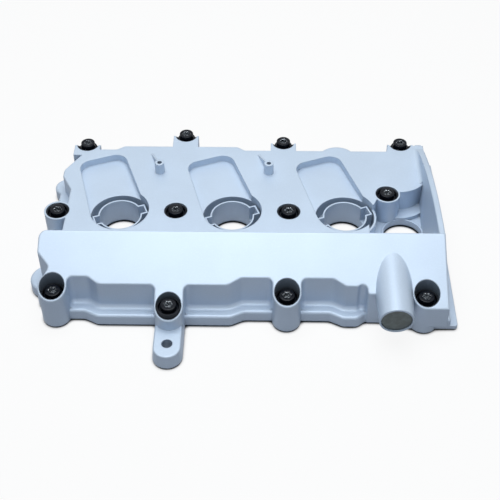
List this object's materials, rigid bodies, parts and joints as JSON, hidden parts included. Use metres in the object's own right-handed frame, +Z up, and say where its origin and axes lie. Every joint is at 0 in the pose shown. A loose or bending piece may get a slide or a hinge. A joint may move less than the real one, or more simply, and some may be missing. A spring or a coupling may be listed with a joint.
{
  "type": "engine valve cover",
  "caption": "Cast light-alloy cover that closes the camshaft space of an engine bank, with plug wells in slanted pockets, captive bolts in rubber seals, a mounting ear and a breather stub.",
  "frame": {"origin": "axis of the middle plug well at the casting's sealing face", "axes": "+Z up out of the plug wells, +X along the row of wells to the end wall, +Y to the rear edge"},
  "size_m": [0.324, 0.2459, 0.0538],
  "materials": {
    "cast_alloy": "satin cast",
    "seal_rubber": "matte",
    "bolt_steel": "black coated",
    "sleeve_steel": "phosphated",
    "plug_steel": "olive passivated"
  },
  "bodies": {
    "root": {"cover_casting": "cast_alloy", "perimeter_gasket": "seal_rubber", "cover_bolts": "bolt_steel", "stub_plug": "plug_steel", "port_seal": "seal_rubber", "plug_well_seal_1": "seal_rubber", "plug_well_seal_2": "seal_rubber", "plug_well_seal_3": "seal_rubber", "bolt_seal_1": "seal_rubber", "bolt_seal_2": "seal_rubber", "bolt_seal_3": "seal_rubber", "bolt_seal_4": "seal_rubber", "bolt_seal_5": "seal_rubber", "bolt_seal_6": "seal_rubber", "bolt_seal_7": "seal_rubber", "bolt_seal_8": "seal_rubber", "bolt_seal_9": "seal_rubber", "bolt_seal_10": "seal_rubber", "bolt_seal_11": "seal_rubber", "bolt_seal_12": "seal_rubber", "bolt_sleeve_1": "sleeve_steel", "bolt_sleeve_2": "sleeve_steel", "bolt_sleeve_3": "sleeve_steel", "bolt_sleeve_4": "sleeve_steel", "bolt_sleeve_5": "sleeve_steel", "bolt_sleeve_6": "sleeve_steel", "bolt_sleeve_7": "sleeve_steel", "bolt_sleeve_8": "sleeve_steel", "bolt_sleeve_9": "sleeve_steel", "bolt_sleeve_10": "sleeve_steel", "bolt_sleeve_11": "sleeve_steel", "bolt_sleeve_12": "sleeve_steel"}
  },
  "joints": []
}
